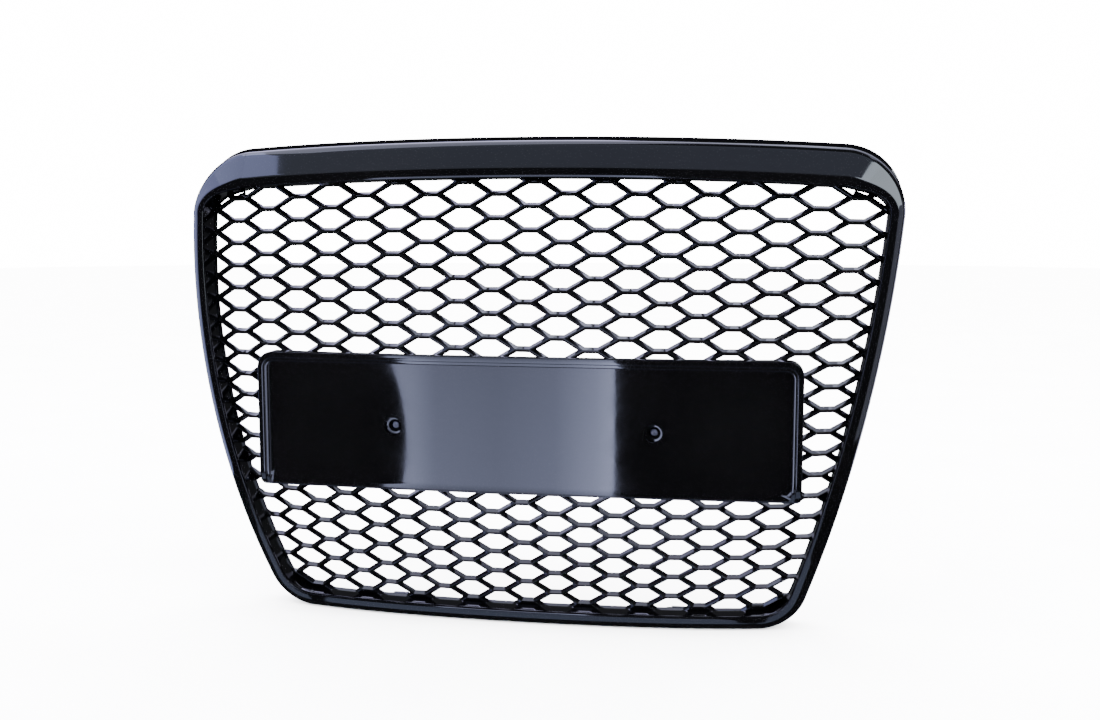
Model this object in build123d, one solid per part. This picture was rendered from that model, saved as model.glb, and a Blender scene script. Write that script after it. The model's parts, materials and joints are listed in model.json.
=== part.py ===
from build123d import *
import math
import os

# Front grille of a car: a ring-shaped surround, a honeycomb mesh screwed into its back, and a
# number plate carrier on the mesh. Millimetres. X is to the right seen from the front, Y points
# to the back of the car and Z is up. The origin is the middle of the base of the grille's box.
# Shapes are laid out first about a point on the mesh a little below the carrier's top edge, and
# every piece is moved to the origin when it is written.

BOX_MIDDLE_DEPTH = 52.6
BASE_BELOW_LAYOUT = 246.5

# Surround outline: a top arc, two side arcs and a straight base, with round corners.
TOP_HEIGHT = 238.6
TOP_ARC_RADIUS = 5165.0
HALF_WIDTHS = ((362.8, 150.0), (332.4, -20.0), (285.6, -190.0))
BASE_HEIGHT = -BASE_BELOW_LAYOUT
TOP_CORNER_RADIUS = 61.0
BASE_CORNER_RADIUS = 50.0

# Surround section: distance outwards from the inner edge, and depth behind the nose.
# The first pair of each point is the side and base section, the second is the top section.
# The points marked None end on the mesh.
# A rib fills the hollow of this section, and has the same kind of points.
SIDE_FACE_WIDTH = 15.0
TOP_FACE_WIDTH = 38.0
SECTION = (
    ((-0.3, 2.0), (-0.3, 2.2)),
    ((0.9, 0.0), (0.9, 0.0)),
    ((8.0, 1.2), (10.0, 2.6)),
    ((12.6, 4.6), (32.5, 19.5)),
    ((14.5, 8.0), (36.6, 24.0)),
    ((15.0, 12.0), (38.0, 29.5)),
    ((15.0, 20.0), (38.0, 35.0)),
    ((15.0, 24.0), (35.6, 36.2)),
    ((15.0, 28.0), (35.6, 39.4)),
    ((15.0, 32.0), (42.2, 41.0)),
    ((15.0, 45.0), (42.2, 53.0)),
    ((12.3, 45.0), (39.4, 53.0)),
    ((12.3, 34.0), (39.4, 43.6)),
    ((12.3, 28.0), (32.8, 41.8)),
    ((12.3, 14.0), (32.8, 30.0)),
    ((11.0, 7.6), (30.5, 22.5)),
    ((7.2, 4.3), (8.4, 5.8)),
    ((3.2, 3.3), (3.0, 3.4)),
    ((2.4, None), (2.4, None)),
    ((-0.3, None), (-0.3, None)),
)
RIB_SECTION = (
    ((3.0, 2.9), (3.0, 3.1)),
    ((7.2, 3.6), (8.4, 5.0)),
    ((11.0, 6.9), (30.5, 21.7)),
    ((12.6, 14.0), (33.4, 31.0)),
    ((12.6, 18.0), (33.4, 33.0)),
    ((2.2, 16.0), (2.2, 22.0)),
)
RIB_THICKNESS = 1.8
TOP_RIBS = (60.0, 180.0)
BASE_RIBS = (47.0, 142.0)
SIDE_RIBS = (150.0, 65.0, -25.0, -115.0)
REAR_DEPTH_SIDE = 45.0
REAR_DEPTH_TOP = 53.0
WALL = 2.7
NOSE_AHEAD_OF_MESH = 26.6
NOSE_AHEAD_AT_TOP = 7.9
MESH_GAP = 0.8

# Mesh: bars along a lattice of stretched hexagons, on a bowed surface. The surface's depth is the
# sum of these values times (x / 300) and (z / 200), each to the power given.
MESH_SHAPE = {
    (0, 0): 0.4,
    (0, 1): 23.4,
    (0, 2): 47.5,
    (0, 3): 1.3,
    (2, 0): 12.9,
    (2, 1): -12.8,
    (2, 2): -2.6,
    (4, 0): 15.7,
}
BAR_FRONT = 5.5
BAR_BACK = 2.5
BAR_WIDTH = 4.6
COLUMNS = 9
ROWS = range(-6, 35)
EDGE_SHARE = 0.214
RIM_WIDTH = 3.0
FLANGE_WIDTH = 10.0
SMALLEST_HOLE = 25.0
RELIEF_DEPTH = -1.9
RELIEF_HALF_WIDTH = 175.0

# Number plate carrier.
PLATE_HALF_WIDTH = 262.0
PLATE_TOP = 17.5
PLATE_BASE = -106.2
PLATE_END_DEPTH = -0.3
PLATE_BOW = 7.2
LIP_STEP = 3.4
LIP_WIDTH = 9.5
LIP_HEIGHT = 5.0
BASE_EDGE = 3.0
PANEL_THICKNESS = 2.6
SCREW_OFFSET = 129.9
SCREW_HEIGHT = -45.3

# Wells of the carrier for the plate screws, and the cups of the mesh behind them. Radii.
WELL_MOUTH = 8.6
WELL_WALL = 2.4
WELL_DEPTH = 6.7
WELL_RING = 6.1
WELL_BORE = 3.9
WELL_CHAMFER_HEIGHT = 2.0
CUP_CLEARANCE = 0.6
CUP_WALL = 3.0
SCREW_SEAT_BEHIND_PANEL = 12.5
SEAT_THICKNESS = 2.4
CUP_FLOOR_THICKNESS = 3.0

# Fasteners.
PLATE_SCREW_RADIUS = 2.0
PLATE_SCREW_HEAD = 3.6
PLATE_SCREW_HEAD_HEIGHT = 2.6
MESH_SCREW_CORE = 1.9
MESH_SCREW_HEAD = 3.8
MESH_SCREW_HEAD_HEIGHT = 2.4
MESH_SCREW_LENGTH = 15.0
BOSS_RADIUS = 3.5
BOSS_INSET = 6.4
SPOT_FACE = 4.5
TOP_SCREWS = (-240.0, -120.0, 0.0, 120.0, 240.0)
BASE_SCREWS = (-190.0, -95.0, 0.0, 95.0, 190.0)
SIDE_SCREWS = (110.0, 20.0, -70.0, -160.0)

# Fixing tabs with clip nuts, and tongues with spring clips.
OUTER_TAB = 250.0
INNER_TAB = 95.0
LOWER_TAB = 150.0
TAB_THICKNESS = 2.6
TAB_LENGTH = 24.0
TAB_WIDTH = 28.0
TAB_ROOT = 4.0
TAB_HOLE_BACK = 13.0
TAB_HOLE_RADIUS = 4.2
CLIP_BORE = 3.0
CLIP_WIDTH = 16.0
CLIP_LEAF = 0.9
CLIP_SLACK = 0.1
COLLAR_RADIUS = 4.6
COLLAR_HEIGHT = 3.6
BLADE_THICKNESS = 2.4
BLADE_LENGTH = 13.0
BLADE_WIDTH = 12.0
SIDE_CLIP_LEAF = 0.8
SIDE_CLIP_WIDTH = 9.0
SIDE_CLIP_HEIGHTS = (75.0, -95.0)


def panel_depth(x):
    """Depth of the carrier's panel at x."""
    return PLATE_END_DEPTH - PLATE_BOW * (1 - (x / PLATE_HALF_WIDTH) ** 2)


# Depths along a plate screw: the head's seat, the back of the well, the cup's floor and its back.
SCREW_SEAT_DEPTH = panel_depth(SCREW_OFFSET) + SCREW_SEAT_BEHIND_PANEL
WELL_BACK = SCREW_SEAT_DEPTH + SEAT_THICKNESS
CUP_FLOOR = WELL_BACK + 0.1
CUP_BACK = CUP_FLOOR + CUP_FLOOR_THICKNESS


def smooth(value):
    """Goes from 0 to 1 with level ends."""
    value = min(max(value, 0.0), 1.0)
    return value * value * (3 - 2 * value)


def mesh_depth(x, z):
    """Depth of the widest level of the mesh bars, which bow back to the sides, top and base."""
    return sum(value * (x / 300) ** i * (z / 200) ** j for (i, j), value in MESH_SHAPE.items())


def circle_through(first, second, third):
    """Centre and radius of the circle through three points."""
    (ax, ay), (bx, by), (cx, cy) = first, second, third
    double_area = 2 * (ax * (by - cy) + bx * (cy - ay) + cx * (ay - by))
    a2, b2, c2 = ax**2 + ay**2, bx**2 + by**2, cx**2 + cy**2
    x = (a2 * (by - cy) + b2 * (cy - ay) + c2 * (ay - by)) / double_area
    y = (a2 * (cx - bx) + b2 * (ax - cx) + c2 * (bx - ax)) / double_area
    return (x, y), math.hypot(ax - x, ay - y)


def outline_pieces():
    """Arcs of the right half of the outline, top middle to base: centre, radius, angles, steps."""
    top_centre = (0.0, TOP_HEIGHT - TOP_ARC_RADIUS)
    side_centre, side_radius = circle_through(*HALF_WIDTHS)
    reach_top = TOP_ARC_RADIUS - TOP_CORNER_RADIUS
    reach_side = side_radius - TOP_CORNER_RADIUS
    dx, dz = side_centre[0] - top_centre[0], side_centre[1] - top_centre[1]
    span = math.hypot(dx, dz)
    along = (reach_top**2 - reach_side**2 + span**2) / (2 * span)
    off = math.sqrt(reach_top**2 - along**2)
    corner = (
        top_centre[0] + along * dx / span + off * dz / span,
        top_centre[1] + along * dz / span - off * dx / span,
    )
    if corner[0] < 0:
        corner = (
            top_centre[0] + along * dx / span - off * dz / span,
            top_centre[1] + along * dz / span + off * dx / span,
        )
    low_z = BASE_HEIGHT + BASE_CORNER_RADIUS
    reach_low = side_radius - BASE_CORNER_RADIUS
    low_x = side_centre[0] + math.sqrt(reach_low**2 - (low_z - side_centre[1]) ** 2)
    low_corner = (low_x, low_z)
    top_end = math.atan2(corner[1] - top_centre[1], corner[0] - top_centre[0])
    side_start = math.atan2(corner[1] - side_centre[1], corner[0] - side_centre[0])
    side_end = math.atan2(low_z - side_centre[1], low_x - side_centre[0])
    return (
        (top_centre, TOP_ARC_RADIUS, math.pi / 2, top_end, 6),
        (corner, TOP_CORNER_RADIUS, top_end, side_start, 8),
        (side_centre, side_radius, side_start, side_end, 10),
        (low_corner, BASE_CORNER_RADIUS, side_end, -math.pi / 2, 6),
    )


def outline_stations():
    """Points and outward directions along the right half of the outline."""
    stations = []
    for centre, radius, start, end, steps in outline_pieces():
        first = 1 if stations else 0
        for step in range(first, steps + 1):
            angle = start + (end - start) * step / steps
            cos, sin = math.cos(angle), math.sin(angle)
            stations.append((centre[0] + radius * cos, centre[1] + radius * sin, cos, sin))
    base_x = stations[-1][0]
    base_steps = 6
    for step in range(1, base_steps + 1):
        stations.append((base_x * (1 - step / base_steps), BASE_HEIGHT, 0.0, -1.0))
    return stations


def top_share(up):
    """How far the section has turned from the side section into the top section."""
    return smooth((up + 0.05) / 1.05)


def nose_depth(x, z):
    """Depth of the surround's nose in front of a point of its inner edge."""
    rise = max(z + 60, 0) / 230
    return mesh_depth(x, z) - NOSE_AHEAD_OF_MESH - NOSE_AHEAD_AT_TOP * rise**2


class Station:
    """One place on the surround, with its own section."""

    def __init__(self, x, z, out_x, out_z):
        self.out = (out_x, out_z)
        self.share = top_share(out_z)
        self.width = SIDE_FACE_WIDTH + (TOP_FACE_WIDTH - SIDE_FACE_WIDTH) * self.share
        self.inner = (x - self.width * out_x, z - self.width * out_z)
        self.nose = nose_depth(*self.inner)

    def place(self, outwards, depth):
        """A point of the section, from its distance to the inner edge and depth behind the nose."""
        x = self.inner[0] + outwards * self.out[0]
        z = self.inner[1] + outwards * self.out[1]
        if depth is None:
            return Vector(x, mesh_depth(x, z) - BAR_FRONT - MESH_GAP, z)
        return Vector(x, self.nose + depth, z)

    def blend(self, pair):
        """Side and top values of a section point mixed for this station."""
        side, top = pair
        outwards = side[0] + (top[0] - side[0]) * self.share
        depth = None
        if side[1] is not None:
            depth = side[1] + (top[1] - side[1]) * self.share
        return outwards, depth

    def wire(self):
        """Closed section at this station."""
        points = [self.place(*self.blend(pair)) for pair in SECTION]
        return Wire.make_polygon(points, close=True)


def station_at(test):
    """The station whose value under test is nearest to zero, between the outline's stations."""
    coarse = outline_stations()
    misses = [abs(test(station)) for station in coarse]
    best = min(range(len(coarse) - 1), key=lambda i: min(misses[i], misses[i + 1]))
    candidates = []
    for index in range(max(best - 1, 0), min(best + 2, len(coarse) - 1)):
        a, b = coarse[index], coarse[index + 1]
        for step in range(41):
            share = step / 40
            mixed = [p + (q - p) * share for p, q in zip(a, b)]
            size = math.hypot(mixed[2], mixed[3])
            candidates.append((mixed[0], mixed[1], mixed[2] / size, mixed[3] / size))
    return min(candidates, key=lambda s: abs(test(s)))


def top_station(x):
    """Station on the top edge, right half, at x."""
    return station_at(lambda s: s[0] - abs(x) if s[3] > 0.5 else 1e6)


def base_station(x):
    """Station on the base edge, right half, at x."""
    return station_at(lambda s: s[0] - abs(x) if s[3] < -0.5 else 1e6)


def side_station(z):
    """Station on the right side at height z."""
    return station_at(lambda s: s[1] - z if abs(s[3]) < 0.5 else 1e6)


def mirrored(point, x):
    """The station on the same side as x."""
    if x >= 0:
        return point
    return (-point[0], point[1], -point[2], point[3])


def closed_outline(offset):
    """Closed curve in the XZ plane at a distance outwards from the surround's inner edge."""
    half = []
    for data in outline_stations():
        station = Station(*data)
        point = station.place(offset, 0.0)
        half.append((point.X, point.Z))
    return half + [(-x, z) for x, z in reversed(half[1:-1])]


def outline_face(offset):
    """Face bounded by closed_outline."""
    points = [Vector(x, 0, z) for x, z in closed_outline(offset)]
    return Face(Wire([Edge.make_spline(points, periodic=True)]))


def prism(face, near, far):
    """Solid from a face in the XZ plane, between two depths."""
    moved = face.moved(Location((0, near, 0)))
    return Solid.extrude(moved, Vector(0, far - near, 0))


def rounded_rectangle(left, right, low, high, top_radius, base_radius):
    """Face in the XZ plane with its own radius at the top and base corners."""
    plane = Plane(origin=(0, 0, 0), x_dir=(1, 0, 0), z_dir=(0, -1, 0))
    sketch = plane * Pos((left + right) / 2, (low + high) / 2) * Rectangle(right - left, high - low)
    face = sketch.faces()[0]
    if top_radius > 0:
        face = face.fillet_2d(top_radius, [v for v in face.vertices() if v.Z > high - 0.01])
    if base_radius > 0:
        face = face.fillet_2d(base_radius, [v for v in face.vertices() if v.Z < low + 0.01])
    return face


def cylinder(x, z, radius, near, far):
    """Cylinder along Y between two depths."""
    length = far - near
    place = Location((x, (near + far) / 2, z), (90, 0, 0))
    return place * Cylinder(radius, length)


def footprint_depth(x, z, radius):
    """Least mesh depth under a round foot."""
    angles = [math.radians(30 * step) for step in range(12)]
    return min(mesh_depth(x + radius * math.cos(a), z + radius * math.sin(a)) for a in angles)


def mesh_screw_places():
    """Mesh screws by group: x, z of each."""

    def place(data, x):
        station = Station(*mirrored(data, x))
        point = station.place(BOSS_INSET, 0.0)
        return point.X, point.Z

    return {
        "top": [place(top_station(x), x) for x in TOP_SCREWS],
        "base": [place(base_station(x), x) for x in BASE_SCREWS],
        "left": [place(side_station(z), -1) for z in SIDE_SCREWS],
        "right": [place(side_station(z), 1) for z in SIDE_SCREWS],
    }


def screw_seat(x, z):
    """Depth of the spot face that a mesh screw's head bears on."""
    return footprint_depth(x, z, SPOT_FACE) + BAR_BACK - 0.4


def ring_body():
    """The surround's hollow moulding, lofted round one half and mirrored."""
    wires = [Station(*data).wire() for data in outline_stations()]
    half = Solid.make_loft(wires, ruled=False)
    return half.fuse(half.mirror(Plane.YZ))


def rib(data, x):
    """A thin rib across the hollow of the surround."""
    station = Station(*mirrored(data, x))
    corners = [station.place(*station.blend(pair)) for pair in RIB_SECTION]
    face = Face(Wire.make_polygon(corners, close=True))
    along = Vector(-station.out[1], 0, station.out[0])
    return Solid.extrude(face.moved(Location(along * (-RIB_THICKNESS / 2))), along * RIB_THICKNESS)


def upper_tab_place(x):
    """Rear edge of the top flange at x: depth of the edge and height of the tab's middle."""
    station = Station(*mirrored(top_station(x), x))
    rear = station.place(41.0, REAR_DEPTH_TOP)
    return rear.Y, rear.Z - 0.8


def lower_tab_place(x):
    """Rear edge of the base wall at x: depth of the edge and height of the tab's middle."""
    station = Station(*mirrored(base_station(x), x))
    rear = station.place(13.6, REAR_DEPTH_SIDE)
    return rear.Y, rear.Z + 0.8


def tab(x, rear, height):
    """Flat tab with a clearance hole, which takes a clip nut."""
    middle = rear + (TAB_LENGTH - TAB_ROOT) / 2
    plate = Pos(x, middle, height) * Box(TAB_WIDTH, TAB_LENGTH + TAB_ROOT, TAB_THICKNESS)
    hole = Pos(x, rear + TAB_HOLE_BACK, height) * Cylinder(TAB_HOLE_RADIUS, 10)
    return plate - hole


def clip_nut(x, rear, height):
    """Folded spring steel nut pushed over a tab from behind."""
    front = rear + 3.0
    inner_back = rear + TAB_LENGTH + CLIP_SLACK
    back = inner_back + CLIP_LEAF
    slot_height = TAB_THICKNESS + 2 * CLIP_SLACK
    outer_height = slot_height + 2 * CLIP_LEAF
    outer = Pos(x, (front + back) / 2, height) * Box(CLIP_WIDTH, back - front, outer_height)
    slot_box = Box(CLIP_WIDTH + 2, inner_back - front, slot_height)
    slot = Pos(x, (front + inner_back) / 2, height) * slot_box
    collar_z = height - outer_height / 2 - COLLAR_HEIGHT / 2
    collar = Pos(x, rear + TAB_HOLE_BACK, collar_z) * Cylinder(COLLAR_RADIUS, COLLAR_HEIGHT)
    bore = Pos(x, rear + TAB_HOLE_BACK, height) * Cylinder(CLIP_BORE, 30)
    return (outer - slot) + collar - bore


def side_frame(data, x):
    """Plane at the rear edge of a side wall: X outwards, Y back."""
    station = Station(*mirrored(data, x))
    rear = station.place(13.65, REAR_DEPTH_SIDE)
    out_x, out_z = station.out
    return Plane(origin=rear, x_dir=(out_x, 0, out_z), z_dir=(-out_z, 0, out_x))


def blade_axis_sign(plane):
    """Plus one where the plane's Y axis points to the back, else minus one."""
    return 1 if plane.y_dir.Y > 0 else -1


def side_blade(data, x):
    """Tongue behind the side wall that carries a spring clip."""
    plane = side_frame(data, x)
    sign = blade_axis_sign(plane)
    blade = Box(BLADE_THICKNESS, BLADE_LENGTH + 4, BLADE_WIDTH)
    return plane * Pos(0, sign * (BLADE_LENGTH - 4) / 2, 0) * blade


def side_clip(data, x):
    """Spring steel clip with two barbs, pushed over a tongue."""
    plane = side_frame(data, x)
    sign = blade_axis_sign(plane)
    front = 1.0
    inner_back = BLADE_LENGTH + CLIP_SLACK
    back = inner_back + SIDE_CLIP_LEAF
    slot_height = BLADE_THICKNESS + 2 * CLIP_SLACK
    outer_box = Box(slot_height + 2 * SIDE_CLIP_LEAF, back - front, SIDE_CLIP_WIDTH)
    slot_box = Box(slot_height, inner_back - front, SIDE_CLIP_WIDTH + 2)
    body = Pos(0, (front + back) / 2, 0) * outer_box - Pos(0, (front + inner_back) / 2, 0) * slot_box
    edge = slot_height / 2 + SIDE_CLIP_LEAF
    barb_points = (
        (edge - 0.3, back - 1.0),
        (edge + 2.2, front + 4.0),
        (edge + 1.5, front + 3.6),
        (edge - 0.6, back - 3.2),
    )
    for side in (1, -1):
        corners = [Vector(side * px, py, -3.0) for px, py in barb_points]
        barb = Face(Wire.make_polygon(corners, close=True))
        body = body + Solid.extrude(barb, Vector(0, 0, 6.0))
    if sign < 0:
        body = body.mirror(Plane.XZ)
    return plane * body


def surround_frame():
    """Gloss black ring with ribs, screw bosses, fixing tabs and clip tongues."""
    body = ring_body()
    extras = []
    for group in mesh_screw_places().values():
        for x, z in group:
            rear = footprint_depth(x, z, BOSS_RADIUS) - BAR_FRONT - 0.15
            near = nose_depth(x, z) + 4.4
            extras.append(cylinder(x, z, BOSS_RADIUS, near, rear))
    for x in (INNER_TAB, OUTER_TAB):
        for side in (-1, 1):
            extras.append(tab(side * x, *upper_tab_place(side * x)))
    for side in (-1, 1):
        extras.append(tab(side * LOWER_TAB, *lower_tab_place(side * LOWER_TAB)))
        for height in SIDE_CLIP_HEIGHTS:
            extras.append(side_blade(side_station(height), side))
        for x in TOP_RIBS:
            extras.append(rib(top_station(x), side))
        for x in BASE_RIBS:
            extras.append(rib(base_station(x), side))
        for height in SIDE_RIBS:
            extras.append(rib(side_station(height), side))
    body = body.fuse(*[solid for extra in extras for solid in extra.solids()])
    pilots = []
    for group in mesh_screw_places().values():
        for x, z in group:
            rear = screw_seat(x, z)
            pilots.append(cylinder(x, z, MESH_SCREW_CORE + 0.1, rear - MESH_SCREW_LENGTH - 1.0, rear))
    return body.cut(*pilots)


def lattice(column, row):
    """Place of a point of the honeycomb in the XZ plane."""
    across = column / COLUMNS
    down = (row - 12) / 20
    x = across * (297.5 - 32.9 * down - 2.5 * down**2)
    z = -(220.8 * down - 9.3 * down**2 + 5.6 * down**3) + across**2 * (3.5 * down - 2.7 * down**2)
    return x, z


def inset_polygon(points, distance):
    """Convex polygon with every side moved inwards."""
    count = len(points)
    middle = (sum(p[0] for p in points) / count, sum(p[1] for p in points) / count)
    lines = []
    for index in range(count):
        (ax, az), (bx, bz) = points[index], points[(index + 1) % count]
        length = math.hypot(bx - ax, bz - az)
        normal = (-(bz - az) / length, (bx - ax) / length)
        if (middle[0] - ax) * normal[0] + (middle[1] - az) * normal[1] < 0:
            normal = (-normal[0], -normal[1])
        lines.append((normal[0], normal[1], normal[0] * ax + normal[1] * az + distance))
    corners = []
    for index in range(count):
        a1, b1, c1 = lines[index - 1]
        a2, b2, c2 = lines[index]
        determinant = a1 * b2 - a2 * b1
        corners.append(((c1 * b2 - c2 * b1) / determinant, (a1 * c2 - a2 * c1) / determinant))
    return corners


def cell_polygon(column, row):
    """Opening of one honeycomb cell."""
    edge = EDGE_SHARE
    corners = [
        lattice(column - edge, row - 1),
        lattice(column + edge, row - 1),
        lattice(column + 1 - edge, row),
        lattice(column + edge, row + 1),
        lattice(column - edge, row + 1),
        lattice(column - 1 + edge, row),
    ]
    return inset_polygon(corners, BAR_WIDTH / 2)


def inside(point, polygon):
    """Whether a point lies in a closed polygon."""
    x, z = point
    result = False
    for index, (ax, az) in enumerate(polygon):
        bx, bz = polygon[index - 1]
        if (az > z) != (bz > z) and x < ax + (bx - ax) * (z - az) / (bz - az):
            result = not result
    return result


def cell_faces():
    """Faces of every opening, cut at the mesh's rim."""
    rim_points = closed_outline(-RIM_WIDTH)
    rim_face = outline_face(-RIM_WIDTH)
    faces = []
    for row in ROWS:
        for column in range(-COLUMNS - 2, COLUMNS + 3):
            if (row - column) % 2 != 0:
                continue
            corners = cell_polygon(column, row)
            within = [inside(corner, rim_points) for corner in corners]
            if not any(within):
                continue
            face = Face(Wire.make_polygon([Vector(x, 0, z) for x, z in corners], close=True))
            if all(within):
                faces.append(face)
                continue
            for piece in (face & rim_face).faces():
                if piece.area > SMALLEST_HOLE:
                    faces.append(piece)
    return faces


def mesh_surface(offset):
    """Smooth face along the mesh, moved back by offset from the widest level of the bars."""
    half_width, half_height, across, up = 400.0, 290.0, 15, 11
    points = []
    for i in range(up):
        z = half_height * (2 * i / (up - 1) - 1)
        places = [half_width * (2 * j / (across - 1) - 1) for j in range(across)]
        points.append([Vector(x, mesh_depth(x, z) + offset, z) for x in places])
    return Face.make_surface_from_array_of_points(points, tol=0.05, min_deg=3, max_deg=3)


def beside_arc(offset, limit):
    """Block between the plate's arc, moved back by offset, and a flat depth in front or behind."""
    half_width, low, height = 300.0, -140.0, 200.0
    middle = PLATE_END_DEPTH + offset - PLATE_BOW
    ends = middle + PLATE_BOW * (half_width / PLATE_HALF_WIDTH) ** 2
    outline = Wire([
        Edge.make_three_point_arc((-half_width, ends, low), (0, middle, low), (half_width, ends, low)),
        Edge.make_line((half_width, ends, low), (half_width, limit, low)),
        Edge.make_line((half_width, limit, low), (-half_width, limit, low)),
        Edge.make_line((-half_width, limit, low), (-half_width, ends, low)),
    ])
    return Solid.extrude(Face(outline), Vector(0, 0, height))


def behind_arc(offset):
    """Everything behind the plate's arc moved back by offset."""
    return beside_arc(offset, 80.0)


def carrier_prism(extra):
    """Long prism with the carrier's outline, made larger all round by extra."""
    half_width = PLATE_HALF_WIDTH + LIP_WIDTH + extra
    low = PLATE_BASE - BASE_EDGE - extra
    high = PLATE_TOP + LIP_WIDTH + extra
    face = rounded_rectangle(-half_width, half_width, low, high, 15.0 + extra, 5.0 + extra)
    return prism(face, -80.0, 80.0)


def recess_prism(extra, top_radius):
    """Long prism with the plate's outline made larger by extra, open at the base."""
    half_width = PLATE_HALF_WIDTH + extra
    low = PLATE_BASE - BASE_EDGE - 10
    face = rounded_rectangle(-half_width, half_width, low, PLATE_TOP + extra, top_radius, 0)
    return prism(face, -80.0, 80.0)


def honeycomb_mesh():
    """Honeycomb with a rim, a screw flange round it and two cups for the carrier's wells."""
    screws = [place for group in mesh_screw_places().values() for place in group]
    openings = [face.outer_wire() for face in cell_faces()]
    for x, z in screws:
        plane = Plane(origin=(x, 0, z), x_dir=(1, 0, 0), z_dir=(0, -1, 0))
        openings.append(Wire.make_circle(MESH_SCREW_CORE + 0.4, plane))
    sheet = Face(outline_face(FLANGE_WIDTH).outer_wire(), openings)
    depth = BAR_FRONT + BAR_BACK
    slab = Solid.extrude(mesh_surface(-BAR_FRONT), Vector(0, depth, 0))
    low, high = PLATE_BASE - BASE_EDGE - 1.0, PLATE_TOP
    relief = Pos(0, RELIEF_DEPTH - 20, (low + high) / 2) * Box(2 * RELIEF_HALF_WIDTH, 40, high - low)
    spot_faces = [cylinder(x, z, SPOT_FACE, screw_seat(x, z), screw_seat(x, z) + 30) for x, z in screws]
    slab = slab.cut(relief, *spot_faces)
    mesh = prism(sheet, -60.0, 160.0) & slab
    cups, wells = [], []
    for side in (-1, 1):
        x = side * SCREW_OFFSET
        outer = WELL_MOUTH + WELL_WALL + CUP_CLEARANCE + CUP_WALL
        front = mesh_depth(x, SCREW_HEIGHT) - BAR_FRONT + 1.0
        cups.append(cylinder(x, SCREW_HEIGHT, outer, front, CUP_BACK))
        wells.append(cylinder(x, SCREW_HEIGHT, outer - CUP_WALL, front - 30, CUP_FLOOR))
        wells.append(cylinder(x, SCREW_HEIGHT, PLATE_SCREW_RADIUS + 0.3, front, CUP_BACK + 5))
    return mesh.solid().fuse(*cups).cut(*wells)


def plate_carrier():
    """Bowed panel with a stepped lip on three sides, skirt behind and two screw wells."""
    outer = carrier_prism(0.0)
    mesh_space = Solid.extrude(mesh_surface(-BAR_FRONT - MESH_GAP), Vector(0, 90, 0))
    body = (behind_arc(-LIP_HEIGHT) & outer) - behind_arc(PANEL_THICKNESS)
    skirt = ((outer - carrier_prism(-WALL)) & behind_arc(0.0)) - mesh_space
    body = body + skirt
    body = body - (recess_prism(LIP_STEP, 10.0) - behind_arc(-LIP_HEIGHT / 2))
    body = body - (recess_prism(0.0, 7.0) - behind_arc(0.0))
    for side in (-1, 1):
        x = side * SCREW_OFFSET
        front = panel_depth(x)
        sleeve = cylinder(x, SCREW_HEIGHT, WELL_MOUTH + WELL_WALL, front + 1.6, WELL_BACK)
        body = body + sleeve
        body = body - cylinder(x, SCREW_HEIGHT, WELL_MOUTH, front - 5, front + WELL_DEPTH)
        body = body - cylinder(x, SCREW_HEIGHT, WELL_BORE, front, SCREW_SEAT_DEPTH)
        body = body - cylinder(x, SCREW_HEIGHT, PLATE_SCREW_RADIUS + 0.3, front, WELL_BACK + 5)
        cone_middle = (x, front + WELL_DEPTH + WELL_CHAMFER_HEIGHT / 2, SCREW_HEIGHT)
        cone = Cone(WELL_BORE, WELL_RING, WELL_CHAMFER_HEIGHT)
        body = body - Location(cone_middle, (90, 0, 0)) * cone
    return body


def plate_screw(side):
    """Pan head cross recess screw of a well."""
    x = side * SCREW_OFFSET
    top = SCREW_SEAT_DEPTH - PLATE_SCREW_HEAD_HEIGHT
    head = cylinder(x, SCREW_HEIGHT, PLATE_SCREW_HEAD, top, SCREW_SEAT_DEPTH)
    head = head.fillet(1.0, head.edges().filter_by(GeomType.CIRCLE).sort_by(Axis.Y)[:1])
    shank = cylinder(x, SCREW_HEIGHT, PLATE_SCREW_RADIUS, SCREW_SEAT_DEPTH - 0.5, CUP_BACK + 7.5)
    slots = Pos(x, top + 0.8, SCREW_HEIGHT) * (Box(3.6, 1.7, 0.8) + Box(0.8, 1.7, 3.6))
    return head + shank - slots


def plate_washer(side):
    """Flat washer behind a cup of the mesh."""
    x = side * SCREW_OFFSET
    disc = cylinder(x, SCREW_HEIGHT, 5.5, CUP_BACK + 0.02, CUP_BACK + 1.0)
    return disc - cylinder(x, SCREW_HEIGHT, PLATE_SCREW_RADIUS + 0.2, CUP_BACK - 5, CUP_BACK + 5)


def plate_nut(side):
    """Hexagon nut with a rounded locking collar."""
    x = side * SCREW_OFFSET
    near = CUP_BACK + 1.02
    plane = Plane(origin=(x, near, SCREW_HEIGHT), x_dir=(1, 0, 0), z_dir=(0, 1, 0))
    body = extrude(plane * RegularPolygon(4.04, 6), 3.2)
    collar = cylinder(x, SCREW_HEIGHT, 3.3, near + 3.0, near + 4.6)
    return body + collar - cylinder(x, SCREW_HEIGHT, PLATE_SCREW_RADIUS + 0.02, near - 5, near + 10)


def mesh_screw(x, z):
    """Pan head self-tapping screw put in from behind."""
    seat = screw_seat(x, z) + 0.02
    head = cylinder(x, z, MESH_SCREW_HEAD, seat, seat + MESH_SCREW_HEAD_HEIGHT)
    head = head.fillet(1.1, head.edges().filter_by(GeomType.CIRCLE).sort_by(Axis.Y)[-1:])
    shank = cylinder(x, z, MESH_SCREW_CORE, seat - MESH_SCREW_LENGTH + 3, seat + 0.5)
    tip = Location((x, seat - MESH_SCREW_LENGTH + 1.5, z), (90, 0, 0)) * Cone(MESH_SCREW_CORE, 0.4, 3)
    back = seat + MESH_SCREW_HEAD_HEIGHT - 0.6
    slots = Pos(x, back, z) * (Box(3.8, 1.3, 0.8) + Box(0.8, 1.3, 3.8))
    return head + shank + tip - slots


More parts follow.
